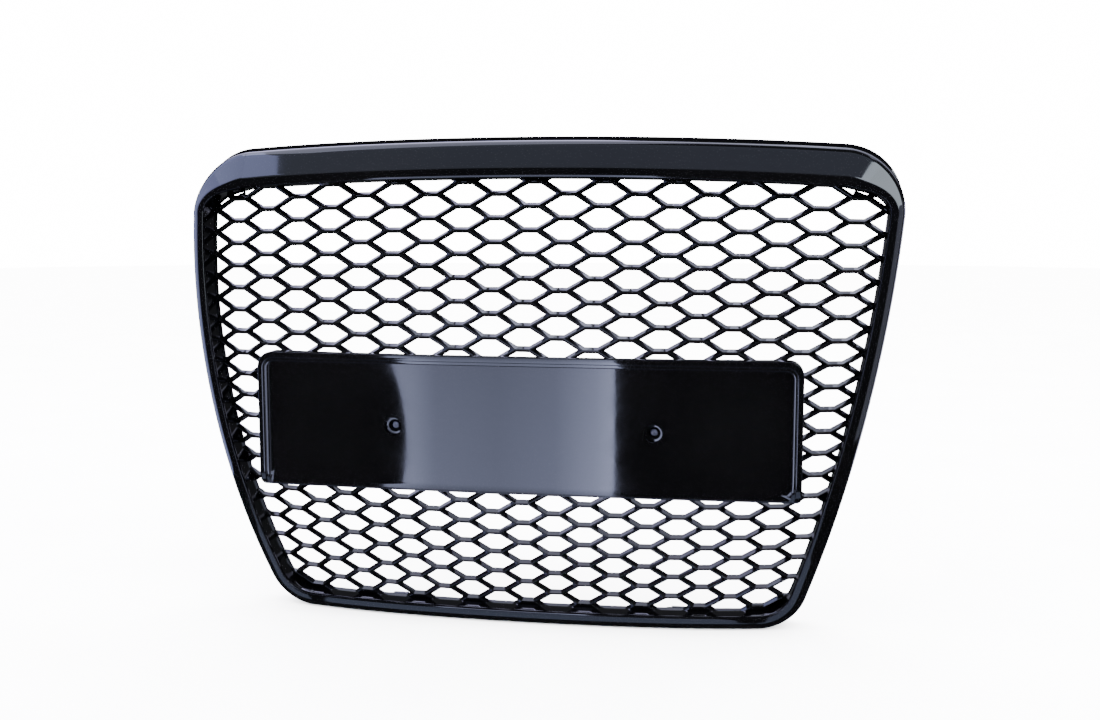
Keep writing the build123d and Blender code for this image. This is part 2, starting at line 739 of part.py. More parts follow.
def build():
    """Every node of the grille, by name."""
    nodes = {
        "surround_frame": [surround_frame()],
        "honeycomb_mesh": [honeycomb_mesh()],
        "plate_carrier": [plate_carrier()],
    }
    for name, side in (("left", -1), ("right", 1)):
        nodes[f"plate_screw_{name}"] = [plate_screw(side)]
        nodes[f"plate_washer_{name}"] = [plate_washer(side)]
        nodes[f"plate_nut_{name}"] = [plate_nut(side)]
        clips = [side_clip(side_station(height), side) for height in SIDE_CLIP_HEIGHTS]
        nodes[f"side_clips_{name}"] = clips
    for group, places in mesh_screw_places().items():
        nodes[f"mesh_screws_{group}"] = [mesh_screw(x, z) for x, z in places]
    for name, offset in (("inner", INNER_TAB), ("outer", OUTER_TAB)):
        clips = [clip_nut(x, *upper_tab_place(x)) for x in (-offset, offset)]
        nodes[f"upper_clip_nuts_{name}"] = clips
    lower = [clip_nut(x, *lower_tab_place(x)) for x in (-LOWER_TAB, LOWER_TAB)]
    nodes["lower_clip_nuts"] = lower
    return nodes


def write(nodes):
    """Moves every node to the origin and writes it."""
    os.makedirs("parts", exist_ok=True)
    move = Location((0, -BOX_MIDDLE_DEPTH, BASE_BELOW_LAYOUT))
    for name, shapes in nodes.items():
        solids = [solid.moved(move) for shape in shapes for solid in shape.solids()]
        whole = solids[0] if len(solids) == 1 else Compound(children=solids)
        export_step(whole, f"parts/{name}.step")


write(build())
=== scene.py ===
import json
import math

import bmesh
import bpy
from mathutils import Matrix, Vector


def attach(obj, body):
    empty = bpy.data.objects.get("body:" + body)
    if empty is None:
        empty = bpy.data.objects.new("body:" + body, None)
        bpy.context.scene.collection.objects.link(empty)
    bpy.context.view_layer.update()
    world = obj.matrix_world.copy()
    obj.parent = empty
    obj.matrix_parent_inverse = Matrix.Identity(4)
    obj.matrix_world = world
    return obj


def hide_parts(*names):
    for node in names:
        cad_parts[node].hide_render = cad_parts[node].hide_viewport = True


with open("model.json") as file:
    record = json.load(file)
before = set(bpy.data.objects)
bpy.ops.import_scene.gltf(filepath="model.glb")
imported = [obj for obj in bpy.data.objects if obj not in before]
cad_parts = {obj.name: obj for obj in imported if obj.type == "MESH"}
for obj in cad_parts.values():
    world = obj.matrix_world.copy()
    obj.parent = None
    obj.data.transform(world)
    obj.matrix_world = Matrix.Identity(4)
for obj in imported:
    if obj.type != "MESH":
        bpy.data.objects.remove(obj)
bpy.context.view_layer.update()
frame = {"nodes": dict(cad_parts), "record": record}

# Lengths are millimetres in the layout of the CAD source, x right, y back and z up, until to_frame
# moves them to the frame. Lights, floor and camera are in metres in the frame.
BOX_MIDDLE_DEPTH = 52.6
BASE_BELOW_LAYOUT = 246.5
TOP_HEIGHT = 238.6
TOP_ARC_RADIUS = 5165.0
HALF_WIDTHS = ((362.8, 150.0), (332.4, -20.0), (285.6, -190.0))
BASE_HEIGHT = -BASE_BELOW_LAYOUT
TOP_CORNER_RADIUS = 61.0
BASE_CORNER_RADIUS = 50.0
SIDE_FACE_WIDTH = 15.0
TOP_FACE_WIDTH = 38.0
NOSE_AHEAD_OF_MESH = 26.6
NOSE_AHEAD_AT_TOP = 7.9
MESH_GAP = 0.8
BAR_FRONT = 5.5
BAR_BACK = 2.5
MESH_SHAPE = {
    (0, 0): 0.4,
    (0, 1): 23.4,
    (0, 2): 47.5,
    (0, 3): 1.3,
    (2, 0): 12.9,
    (2, 1): -12.8,
    (2, 2): -2.6,
    (4, 0): 15.7,
}
# Section of the surround: side and top values of (outwards, depth), then the corner's rounding.
# A depth of None ends on the mesh.
SECTION = (
    ((-0.3, 2.0), (-0.3, 2.2), 0.7),
    ((0.9, 0.0), (0.9, 0.0), 0.5),
    ((2.4, 0.05), (2.7, 0.1), 0.9),
    ((4.4, 0.45), (5.2, 0.85), 1.4),
    ((8.0, 1.2), (10.0, 2.6), 2.0),
    ((12.6, 4.6), (32.5, 19.5), 1.9),
    ((14.5, 8.0), (36.6, 24.0), 1.9),
    ((15.0, 12.0), (38.0, 29.5), 1.9),
    ((15.0, 20.0), (38.0, 35.0), 0.6),
    ((15.0, 24.0), (35.6, 36.2), 0.6),
    ((15.0, 28.0), (35.6, 39.4), 0.6),
    ((15.0, 32.0), (42.2, 41.0), 0.6),
    ((15.0, 45.0), (42.2, 53.0), 0.5),
    ((12.3, 45.0), (39.4, 53.0), 0.5),
    ((12.3, 34.0), (39.4, 43.6), 0.6),
    ((12.3, 28.0), (32.8, 41.8), 0.6),
    ((12.3, 14.0), (32.8, 30.0), 0.8),
    ((11.0, 7.6), (30.5, 22.5), 0.8),
    ((7.2, 4.3), (8.4, 5.8), 0.8),
    ((3.2, 3.3), (3.0, 3.4), 0.3),
    ((2.4, None), (2.4, None), 0.4),
    ((-0.3, None), (-0.3, None), 0.4),
)
RIB_CORNERS = (
    ((3.0, 2.9), (3.0, 3.1)),
    ((7.2, 3.6), (8.4, 5.0)),
    ((11.0, 6.9), (30.5, 21.7)),
    ((12.6, 14.0), (33.4, 31.0)),
    ((12.6, 18.0), (33.4, 33.0)),
    ((2.2, 16.0), (2.2, 22.0)),
)
TOP_RIBS = (60.0, 180.0)
BASE_RIBS = (47.0, 142.0)
SIDE_RIBS = (150.0, 65.0, -25.0, -115.0)
REAR_DEPTH_SIDE = 45.0
REAR_DEPTH_TOP = 53.0
# The ring is made this much narrower, because its arcs stand outside the lofted CAD surface.
RING_NARROWING = 0.9997

# Screws through the mesh's flange into the surround.
BOSS_INSET = 6.4
BOSS_RADIUS = 3.5
SPOT_FACE = 4.5
TOP_SCREWS = (-240.0, -120.0, 0.0, 120.0, 240.0)
BASE_SCREWS = (-190.0, -95.0, 0.0, 95.0, 190.0)
SIDE_SCREWS = (110.0, 20.0, -70.0, -160.0)

# Tabs and tongues at the rear of the surround.
TAB_THICKNESS = 2.6
TAB_LENGTH = 24.0
TAB_WIDTH = 28.0
TAB_ROOT = 4.0
TAB_HOLE_BACK = 13.0
TAB_HOLE_RADIUS = 4.2
TAB_CORNER = 3.0
OUTER_TAB = 250.0
INNER_TAB = 95.0
LOWER_TAB = 150.0
BLADE_THICKNESS = 2.4
BLADE_LENGTH = 13.0
BLADE_WIDTH = 12.0
BLADE_ROOT = 4.0
SIDE_CLIP_HEIGHTS = (75.0, -95.0)

# Honeycomb lattice, and the section of a bar: distance in from its middle line, and depth
# behind the widest level. Behind the carrier's panel the bars are cut back to a flat depth.
COLUMNS = 9
ROWS = range(-6, 35)
EDGE_SHARE = 0.214
HALF_BAR = 3.0
BAR_SECTION = (
    (0.0, -5.5), (0.3, -5.47), (0.5, -5.3), (0.66, -5.02), (2.86, -0.35),
    (3.0, 0.1), (2.97, 1.0), (2.9, 2.2), (2.6, 2.5), (0.0, 2.5),
)
SMALLEST_OPENING = 5.0
RELIEF_DEPTH = -1.9
RELIEF_HALF_WIDTH = 175.0
RELIEF_LOW = -109.0
RELIEF_HIGH = 17.0
BARS_END = 2.2
FLANGE_END = 9.9

# Number plate carrier and its wells.
SCREW_OFFSET = 129.9
SCREW_HEIGHT = -45.3
PLATE_HALF_WIDTH = 262.0
PLATE_TOP = 17.5
PLATE_BASE = -106.2
PLATE_END_DEPTH = -0.3
PLATE_BOW = 7.2
LIP_WIDTH = 9.5
LIP_HEIGHT = 5.0
LIP_RUN_OUT = 9.0
BASE_EDGE = 3.0
PANEL_THICKNESS = 2.6
WALL = 2.7
WELL_MOUTH = 8.6
WELL_OUTSIDE = 11.0
WELL_FLOOR = 6.7
WELL_BORE = 3.9
SCREW_HOLE = 2.3
CUP_INSIDE = 11.6
CUP_OUTSIDE = 14.6
BARS_CUT_AT_CUP = 13.0


def panel_depth(x):
    """Depth of the carrier's panel at x."""
    return PLATE_END_DEPTH - PLATE_BOW * (1 - (x / PLATE_HALF_WIDTH) ** 2)


# Depths along a plate screw: the head's seat, the back of the well, the cup's floor and its back.
SCREW_SEAT_DEPTH = panel_depth(SCREW_OFFSET) + 12.5
WELL_BACK = SCREW_SEAT_DEPTH + 2.4
CUP_FLOOR = WELL_BACK + 0.1
CUP_BACK = CUP_FLOOR + 3.0


def smooth(value):
    """Goes from 0 to 1 with level ends."""
    value = min(max(value, 0.0), 1.0)
    return value * value * (3 - 2 * value)


def to_frame(x, y, z):
    """Point of the frame in metres, from a point of the layout in millimetres."""
    return Vector((x, y - BOX_MIDDLE_DEPTH, z + BASE_BELOW_LAYOUT)) / 1000


def mesh_depth(x, z):
    """Depth of the widest level of the mesh's bars."""
    return sum(value * (x / 300) ** i * (z / 200) ** j for (i, j), value in MESH_SHAPE.items())


def circle_through(first, second, third):
    """Centre and radius of the circle through three points."""
    (ax, ay), (bx, by), (cx, cy) = first, second, third
    double_area = 2 * (ax * (by - cy) + bx * (cy - ay) + cx * (ay - by))
    a2, b2, c2 = ax**2 + ay**2, bx**2 + by**2, cx**2 + cy**2
    x = (a2 * (by - cy) + b2 * (cy - ay) + c2 * (ay - by)) / double_area
    y = (a2 * (cx - bx) + b2 * (ax - cx) + c2 * (bx - ax)) / double_area
    return (x, y), math.hypot(ax - x, ay - y)


def outline_stations(fine):
    """Points and outward directions of the right half of the outline; fine multiplies the steps."""
    top_centre = (0.0, TOP_HEIGHT - TOP_ARC_RADIUS)
    side_centre, side_radius = circle_through(*HALF_WIDTHS)
    reach_top = TOP_ARC_RADIUS - TOP_CORNER_RADIUS
    reach_side = side_radius - TOP_CORNER_RADIUS
    dx, dz = side_centre[0] - top_centre[0], side_centre[1] - top_centre[1]
    span = math.hypot(dx, dz)
    along = (reach_top**2 - reach_side**2 + span**2) / (2 * span)
    off = math.sqrt(reach_top**2 - along**2)
    foot = (top_centre[0] + along * dx / span, top_centre[1] + along * dz / span)
    corner = max((foot[0] + s * off * dz / span, foot[1] - s * off * dx / span) for s in (1, -1))
    low_z = BASE_HEIGHT + BASE_CORNER_RADIUS
    reach_low = side_radius - BASE_CORNER_RADIUS
    low_corner = (side_centre[0] + math.sqrt(reach_low**2 - (low_z - side_centre[1]) ** 2), low_z)
    top_end = math.atan2(corner[1] - top_centre[1], corner[0] - top_centre[0])
    side_start = math.atan2(corner[1] - side_centre[1], corner[0] - side_centre[0])
    side_end = math.atan2(low_z - side_centre[1], low_corner[0] - side_centre[0])
    arcs = (
        (top_centre, TOP_ARC_RADIUS, math.pi / 2, top_end, 6 * fine),
        (corner, TOP_CORNER_RADIUS, top_end, side_start, 8 * fine),
        (side_centre, side_radius, side_start, side_end, 8 * fine),
        (low_corner, BASE_CORNER_RADIUS, side_end, -math.pi / 2, 6 * fine),
    )
    stations = []
    for centre, radius, start, end, steps in arcs:
        for step in range(1 if stations else 0, steps + 1):
            angle = start + (end - start) * step / steps
            cos, sin = math.cos(angle), math.sin(angle)
            stations.append((centre[0] + radius * cos, centre[1] + radius * sin, cos, sin))
    base_x = stations[-1][0]
    base_steps = 5 * fine
    for step in range(1, base_steps + 1):
        stations.append((base_x * (1 - step / base_steps), BASE_HEIGHT, 0.0, -1.0))
    return stations


def nose_depth(x, z):
    """Depth of the surround's nose in front of a point of its inner edge."""
    return mesh_depth(x, z) - NOSE_AHEAD_OF_MESH - NOSE_AHEAD_AT_TOP * (max(z + 60, 0) / 230) ** 2


class Station:
    """One place on the surround, with its own section."""

    def __init__(self, x, z, out_x, out_z):
        self.out = (out_x, out_z)
        self.share = smooth((out_z + 0.05) / 1.05)
        self.width = SIDE_FACE_WIDTH + (TOP_FACE_WIDTH - SIDE_FACE_WIDTH) * self.share
        self.inner = (x - self.width * out_x, z - self.width * out_z)
        self.nose = nose_depth(*self.inner)

    def place(self, outwards, depth):
        """Point from its distance to the inner edge and its depth behind the nose."""
        x = self.inner[0] + outwards * self.out[0]
        z = self.inner[1] + outwards * self.out[1]
        if depth is None:
            return x, mesh_depth(x, z) - BAR_FRONT - MESH_GAP, z
        return x, self.nose + depth, z

    def blend(self, side, top):
        """Side and top values of a section point mixed for this station."""
        outwards = side[0] + (top[0] - side[0]) * self.share
        if side[1] is None:
            return outwards, None
        return outwards, side[1] + (top[1] - side[1]) * self.share

    def rounded_section(self, steps=4):
        """Points of the section with every corner rounded."""
        corners = [Vector(self.place(*self.blend(side, top))) for side, top, _ in SECTION]
        points = []
        for i, (_, _, rounding) in enumerate(SECTION):
            before, here, after = corners[i - 1], corners[i], corners[(i + 1) % len(corners)]
            into = min(rounding, (before - here).length * 0.45)
            out = min(rounding, (after - here).length * 0.45)
            start = here + (before - here).normalized() * into
            end = here + (after - here).normalized() * out
            for k in range(steps + 1):
                t = k / steps
                points.append(start * (1 - t) ** 2 + here * 2 * t * (1 - t) + end * t**2)
        return points


def find_station(test, fine=40):
    """The station with the least value under test, from finely spaced ones."""
    return min(outline_stations(fine), key=test)


def top_station(x):
    """Station of the right half's top edge at x."""
    return find_station(lambda s: abs(s[0] - abs(x)) if s[3] > 0.5 else 1e6)


def base_station(x):
    """Station of the right half's base edge at x."""
    return find_station(lambda s: abs(s[0] - abs(x)) if s[3] < -0.5 else 1e6)


def side_station(z):
    """Station of the right side at height z."""
    return find_station(lambda s: abs(s[1] - z) if abs(s[3]) < 0.5 else 1e6)


def mirrored(data, side):
    """The same station on the side that the sign gives."""
    return data if side >= 0 else (-data[0], data[1], -data[2], data[3])


def closed_outline(offset, fine=3):
    """Closed curve of (x, z) at a distance outwards from the surround's inner edge."""
    half = []
    for data in outline_stations(fine):
        x, _, z = Station(*data).place(offset, 0.0)
        half.append((x, z))
    return half + [(-x, z) for x, z in reversed(half[1:-1])]


# ---------------------------------------------------------------- materials


def material(name):
    """New material with a principled shader."""
    made = bpy.data.materials.new(name)
    made.use_nodes = True
    tree = made.node_tree
    tree.nodes.clear()
    output = tree.nodes.new("ShaderNodeOutputMaterial")
    shader = tree.nodes.new("ShaderNodeBsdfPrincipled")
    tree.links.new(shader.outputs[0], output.inputs[0])
    return made, tree, shader


def noise_node(tree, scale, detail, roughness=0.5, stretch=None):
    """Noise on the object's own coordinates."""
    place = tree.nodes.new("ShaderNodeTexCoord")
    texture = tree.nodes.new("ShaderNodeTexNoise")
    texture.inputs["Scale"].default_value = scale
    texture.inputs["Detail"].default_value = detail
    texture.inputs["Roughness"].default_value = roughness
    source = place.outputs["Object"]
    if stretch:
        mapping = tree.nodes.new("ShaderNodeMapping")
        mapping.inputs["Scale"].default_value = stretch
        tree.links.new(source, mapping.inputs["Vector"])
        source = mapping.outputs["Vector"]
    tree.links.new(source, texture.inputs["Vector"])
    return texture.outputs["Fac"]


def ramp(tree, source, low, high, start=0.3, end=0.7):
    """Maps a value between start and end to between two numbers or two colours."""
    node = tree.nodes.new("ShaderNodeValToRGB")
    stops = node.color_ramp.elements
    for stop, position, value in ((stops[0], start, low), (stops[1], end, high)):
        stop.position = position
        stop.color = (value, value, value, 1) if isinstance(value, float) else (*value, 1)
    tree.links.new(source, node.inputs["Fac"])
    return node.outputs["Color"]


def bump(tree, shader, source, strength, distance, below=None):
    """Bump from a height, on top of an earlier bump where one is given."""
    node = tree.nodes.new("ShaderNodeBump")
    node.inputs["Strength"].default_value = strength
    node.inputs["Distance"].default_value = distance
    tree.links.new(source, node.inputs["Height"])
    if below:
        tree.links.new(below, node.inputs["Normal"])
    tree.links.new(node.outputs["Normal"], shader.inputs["Normal"])
    return node.outputs["Normal"]


def gloss_black(name, dark, light, rough_low, rough_high, haze):
    """High gloss black moulding: orange peel, hazy polish and fine scuffs."""
    made, tree, shader = material(name)
    tone = noise_node(tree, 9.0, 4.0)
    tree.links.new(ramp(tree, tone, dark, light), shader.inputs["Base Color"])
    wear = noise_node(tree, 38.0, 6.0, 0.65)
    rough = tree.nodes.new("ShaderNodeMath")
    rough.operation = "ADD"
    tree.links.new(ramp(tree, wear, rough_low, rough_high), rough.inputs[0])
    scuff = noise_node(tree, 260.0, 3.0, 0.7, (1.0, 1.0, 6.0))
    tree.links.new(ramp(tree, scuff, 0.0, haze, 0.62, 0.8), rough.inputs[1])
    tree.links.new(rough.outputs[0], shader.inputs["Roughness"])
    shader.inputs["IOR"].default_value = 1.5
    shader.inputs["Coat Weight"].default_value = 0.35
    shader.inputs["Coat Roughness"].default_value = 0.03
    peel = bump(tree, shader, noise_node(tree, 260.0, 2.0), 0.05, 0.00006)
    bump(tree, shader, noise_node(tree, 24.0, 2.0), 0.08, 0.0003, peel)
    return made


def steel(name, dark, light, rough_low, rough_high):
    """Plated steel: mottled plating, drawn grain and small scratches."""
    made, tree, shader = material(name)
    tone = noise_node(tree, 320.0, 5.0, 0.6)
    tree.links.new(ramp(tree, tone, dark, light), shader.inputs["Base Color"])
    grain = noise_node(tree, 900.0, 4.0, 0.6, (1.0, 0.12, 1.0))
    tree.links.new(ramp(tree, grain, rough_low, rough_high), shader.inputs["Roughness"])
    shader.inputs["Metallic"].default_value = 1.0
    bump(tree, shader, grain, 0.12, 0.0001)
    return made


DEEP_BLACK = (0.00015, 0.00015, 0.00022)
SOFT_BLACK = (0.0004, 0.0004, 0.0005)
MESH_DEEP_BLACK = (0.0002, 0.0002, 0.00028)
MESH_SOFT_BLACK = (0.0005, 0.0005, 0.0006)
GLOSS_BLACKS = (
    ("surround_gloss", DEEP_BLACK, SOFT_BLACK, 0.04, 0.09, 0.04),
    ("mesh_gloss", MESH_DEEP_BLACK, MESH_SOFT_BLACK, 0.05, 0.11, 0.05),
    ("carrier_gloss", DEEP_BLACK, SOFT_BLACK, 0.03, 0.07, 0.03),
)
STEELS = (
    ("black_zinc_steel", (0.09, 0.09, 0.10), (0.2, 0.2, 0.22), 0.32, 0.5),
    ("zinc_steel", (0.48, 0.48, 0.47), (0.66, 0.65, 0.61), 0.25, 0.42),
    ("spring_steel", (0.15, 0.15, 0.16), (0.27, 0.27, 0.28), 0.32, 0.5),
)
MATERIALS = {row[0]: gloss_black(*row) for row in GLOSS_BLACKS} | {row[0]: steel(*row) for row in STEELS}


# ---------------------------------------------------------------- mesh helpers


def add_object(name, vertices, faces, slot, node, sharp_angle, weighted=False):
    """Object shown in place of a CAD node, with edges sharp above an angle in degrees."""
    mesh = bpy.data.meshes.new(name)
    mesh.from_pydata([to_frame(*v) for v in vertices], [], faces)
    build = bmesh.new()
    build.from_mesh(mesh)
    bmesh.ops.remove_doubles(build, verts=build.verts, dist=2e-6)
    bmesh.ops.dissolve_degenerate(build, dist=1e-7, edges=build.edges)
    bmesh.ops.recalc_face_normals(build, faces=build.faces)
    for face in build.faces:
        face.smooth = True
    for edge in build.edges:
        if len(edge.link_faces) == 2 and edge.calc_face_angle(0.0) > math.radians(sharp_angle):
            edge.smooth = False
    build.to_mesh(mesh)
    build.free()
    made = bpy.data.objects.new(name, mesh)
    bpy.context.scene.collection.objects.link(made)
    made.data.materials.append(MATERIALS[slot])
    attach(made, "root")
    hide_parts(node)
    if weighted:
        made.modifiers.new("flat faces", "WEIGHTED_NORMAL").keep_sharp = True
    return made


def joined(parts):
    """Vertices and faces of several (vertices, faces) pairs as one pair."""
    vertices, faces = [], []
    for part_vertices, part_faces in parts:
        start = len(vertices)
        vertices.extend(part_vertices)
        faces.extend([tuple(start + i for i in face) for face in part_faces])
    return vertices, faces


def bridge(rows, closed_rows=False):
    """Quads between neighbouring closed loops of the same length."""
    count = len(rows[0])
    vertices = [point for row in rows for point in row]
    faces = []
    last = len(rows) if closed_rows else len(rows) - 1
    for r in range(last):
        a, b = r * count, ((r + 1) % len(rows)) * count
        for i in range(count):
            j = (i + 1) % count
            faces.append((a + i, a + j, b + j, b + i))
    return vertices, faces


def lathe(profile, x, z, segments=40):
    """Turned shape about a line along y through (x, z), from a profile of (radius, depth)."""
    rows = []
    for radius, depth in profile:
        ring = []
        for k in range(segments):
            angle = 2 * math.pi * k / segments
            ring.append((x + radius * math.cos(angle), depth, z + radius * math.sin(angle)))
        rows.append(ring)
    return bridge(rows)


def rounded_block(centre, axes, sizes, rounding):
    """Box with rounded edges: axes are three unit vectors, sizes the full lengths."""
    build = bmesh.new()
    bmesh.ops.create_cube(build, size=1.0)
    for v in build.verts:
        reaches = (Vector(axis) * (v.co[i] * sizes[i]) for i, axis in enumerate(axes))
        v.co = Vector(centre) + sum(reaches, Vector())
    edges = list(build.edges)
    bmesh.ops.bevel(build, geom=edges, offset=rounding, segments=2, affect="EDGES", profile=0.5)
    build.verts.index_update()
    vertices = [tuple(v.co) for v in build.verts]
    faces = [tuple(v.index for v in f.verts) for f in build.faces]
    build.free()
    return vertices, faces


# ---------------------------------------------------------------- surround


def surround_ring():
    """The hollow ring, from closed sections all the way round."""
    half = []
    for data in outline_stations(7):
        half.append([Vector((p.x * RING_NARROWING, p.y, p.z)) for p in Station(*data).rounded_section()])
    left = [[Vector((-p.x, p.y, p.z)) for p in row] for row in reversed(half[1:-1])]
    return bridge(half + left, closed_rows=True)


def mesh_screw_places():
    """Places (x, z) of all the screws of the mesh."""
    found = []
    for x in TOP_SCREWS:
        found.append(Station(*mirrored(top_station(x), x)).place(BOSS_INSET, 0.0))
    for x in BASE_SCREWS:
        found.append(Station(*mirrored(base_station(x), x)).place(BOSS_INSET, 0.0))
    for z in SIDE_SCREWS:
        for side in (-1, 1):
            found.append(Station(*mirrored(side_station(z), side)).place(BOSS_INSET, 0.0))
    return [(x, z) for x, _, z in found]


def footprint_depth(x, z, radius):
    """Least mesh depth under a round foot."""
    angles = [math.radians(30 * step) for step in range(12)]
    return min(mesh_depth(x + radius * math.cos(a), z + radius * math.sin(a)) for a in angles)


def surround_bosses():
    """Screw bosses with chamfered rims and pilot holes."""
    parts = []
    for x, z in mesh_screw_places():
        rear = footprint_depth(x, z, BOSS_RADIUS) - BAR_FRONT - 0.15
        near = nose_depth(x, z) + 4.6
        outside = ((0.1, near), (3.4, near), (3.45, rear - 0.4), (3.1, rear))
        pilot = ((2.3, rear), (2.1, rear - 0.5), (2.1, near + 1.0), (0.1, near + 1.0))
        parts.append(lathe(outside + pilot, x, z, 32))
    return joined(parts)


def rib(data, side):
    """Thin rib across the hollow of the surround, with eased edges."""
    station = Station(*mirrored(data, side))
    corners = [Vector(station.place(*station.blend(*pair))) for pair in RIB_CORNERS]
    along = Vector((-station.out[1], 0, station.out[0]))
    rows = []
    middle = sum(corners, Vector()) / len(corners)
    for shift, shrink in ((-0.9, 0.985), (-0.65, 1.0), (0.65, 1.0), (0.9, 0.985)):
        rows.append([middle + (c - middle) * shrink + along * shift for c in corners])
    vertices, faces = bridge(rows)
    count = len(corners)
    faces.append(tuple(range(count)))
    faces.append(tuple(3 * count + i for i in reversed(range(count))))
    return vertices, faces


def surround_ribs():
    """All the ribs, on both sides."""
    parts = []
    for side in (-1, 1):
        parts += [rib(top_station(x), side) for x in TOP_RIBS]
        parts += [rib(base_station(x), side) for x in BASE_RIBS]
        parts += [rib(side_station(z), side) for z in SIDE_RIBS]
    return joined(parts)


def tab(x, rear, height):
    """Flat tab with a round hole, rounded at its free corners."""
    hole_y = rear + TAB_HOLE_BACK
    front, back, half = rear - TAB_ROOT, rear + TAB_LENGTH, TAB_WIDTH / 2
    inside_x, inside_y = half - TAB_CORNER, back - hole_y - TAB_CORNER
    segments = 48
    outer, hole = [], []
    for k in range(segments):
        angle = 2 * math.pi * (k + 0.5) / segments
        dx, dy = math.cos(angle), math.sin(angle)
        reach = []
        if abs(dx) > 1e-9:
            reach.append(half / abs(dx))
        reach.append(((back - hole_y) if dy > 0 else (hole_y - front)) / max(abs(dy), 1e-9))
        r = min(reach)
        px, py = r * dx, r * dy
        if abs(px) > inside_x and py > inside_y:
            vx, vy = abs(px) - inside_x, py - inside_y
            size = math.hypot(vx, vy)
            if size > TAB_CORNER:
                px = math.copysign(inside_x + vx * TAB_CORNER / size, px)
                py = inside_y + vy * TAB_CORNER / size
        outer.append((px, py))
        hole.append((TAB_HOLE_RADIUS * dx, TAB_HOLE_RADIUS * dy))
    face = TAB_THICKNESS / 2
    below = face - 0.3
    levels = (
        (hole, 1.08, face), (outer, 0.975, face), (outer, 1.0, below), (outer, 1.0, -below),
        (outer, 0.975, -face), (hole, 1.08, -face), (hole, 1.0, -below), (hole, 1.0, below),
    )
    rows = []
    for curve, scale, level in levels:
        rows.append([(x + px * scale, hole_y + py * scale, height + level) for px, py in curve])
    return bridge(rows, closed_rows=True)


def upper_tab_place(x):
    """Depth of the top flange's rear edge at x, and height of the tab's middle."""
    _, y, z = Station(*mirrored(top_station(x), x)).place(41.0, REAR_DEPTH_TOP)
    return y, z - 0.8


def lower_tab_place(x):
    """Depth of the base wall's rear edge at x, and height of the tab's middle."""
    _, y, z = Station(*mirrored(base_station(x), x)).place(13.6, REAR_DEPTH_SIDE)
    return y, z + 0.8


def surround_tabs():
    """Fixing tabs at the top and base, and clip tongues at the sides."""
    sizes = (BLADE_THICKNESS, BLADE_LENGTH + BLADE_ROOT, BLADE_WIDTH)
    parts = []
    for side in (-1, 1):
        for x in (INNER_TAB, OUTER_TAB):
            parts.append(tab(side * x, *upper_tab_place(side * x)))
        parts.append(tab(side * LOWER_TAB, *lower_tab_place(side * LOWER_TAB)))
        for height in SIDE_CLIP_HEIGHTS:
            station = Station(*mirrored(side_station(height), side))
            x, y, z = station.place(13.65, REAR_DEPTH_SIDE)
            out = Vector((station.out[0], 0, station.out[1]))
            along = Vector((-station.out[1], 0, station.out[0]))
            centre = (x, y + (BLADE_LENGTH - BLADE_ROOT) / 2, z)
            parts.append(rounded_block(centre, (out, (0, 1, 0), along), sizes, 0.35))
    return joined(parts)


add_object("surround_ring", *surround_ring(), "surround_gloss", "surround_frame", 60.0, True)
add_object("surround_bosses", *surround_bosses(), "surround_gloss", "surround_frame", 35.0)
add_object("surround_ribs", *surround_ribs(), "surround_gloss", "surround_frame", 25.0)
add_object("surround_tabs", *surround_tabs(), "surround_gloss", "surround_frame", 35.0)


# ---------------------------------------------------------------- honeycomb


def lattice(column, row):
    """Place (x, z) of a point of the honeycomb."""
    across = column / COLUMNS
    down = (row - 12) / 20
    x = across * (297.5 - 32.9 * down - 2.5 * down**2)
    z = -(220.8 * down - 9.3 * down**2 + 5.6 * down**3) + across**2 * (3.5 * down - 2.7 * down**2)
    return x, z


def cell_corners(column, row):
    """Corners of one cell, on the middle lines of the bars round it."""
    edge = EDGE_SHARE
    return [
        lattice(column - edge, row - 1),
        lattice(column + edge, row - 1),
        lattice(column + 1 - edge, row),
        lattice(column + edge, row + 1),
        lattice(column - edge, row + 1),
        lattice(column - 1 + edge, row),
    ]


def half_planes(polygon, distance=0.0):
    """Lines of a convex polygon moved inwards, as (normal x, normal z, limit)."""
    count = len(polygon)
    mx, mz = sum(p[0] for p in polygon) / count, sum(p[1] for p in polygon) / count
    lines = []
    for i in range(count):
        (ax, az), (bx, bz) = polygon[i], polygon[(i + 1) % count]
        length = math.hypot(bx - ax, bz - az)
        if length < 1e-6:
            continue
        nx, nz = -(bz - az) / length, (bx - ax) / length
        if (mx - ax) * nx + (mz - az) * nz < 0:
            nx, nz = -nx, -nz
        lines.append((nx, nz, nx * ax + nz * az + distance))
    return lines


def clip(polygon, lines):
    """Part of a convex polygon inside all the lines."""
    for nx, nz, limit in lines:
        result = []
        for i, b in enumerate(polygon):
            a = polygon[i - 1]
            da, db = nx * a[0] + nz * a[1] - limit, nx * b[0] + nz * b[1] - limit
            if (da >= 0) != (db >= 0):
                t = da / (da - db)
                result.append((a[0] + (b[0] - a[0]) * t, a[1] + (b[1] - a[1]) * t))
            if db >= 0:
                result.append(b)
        polygon = result
        if len(polygon) < 3:
            return []
    shortest_side = 0.02
    cleaned = []
    for p in polygon:
        if not cleaned or math.dist(p, cleaned[-1]) > shortest_side:
            cleaned.append(p)
    if len(cleaned) > 2 and math.dist(cleaned[0], cleaned[-1]) < shortest_side:
        cleaned.pop()
    return cleaned if len(cleaned) > 2 else []


def area(polygon):
    """Area of a polygon."""
    return abs(sum(a[0] * b[1] - b[0] * a[1] for a, b in zip(polygon, polygon[1:] + polygon[:1]))) / 2


def bar_depth(x, z, depth):
    """Depth of a point of a bar, cut back where the carrier's panel is in front of it."""
    y = mesh_depth(x, z) + depth
    if abs(x) < RELIEF_HALF_WIDTH and RELIEF_LOW < z < RELIEF_HIGH:
        y = max(y, RELIEF_DEPTH)
    return y


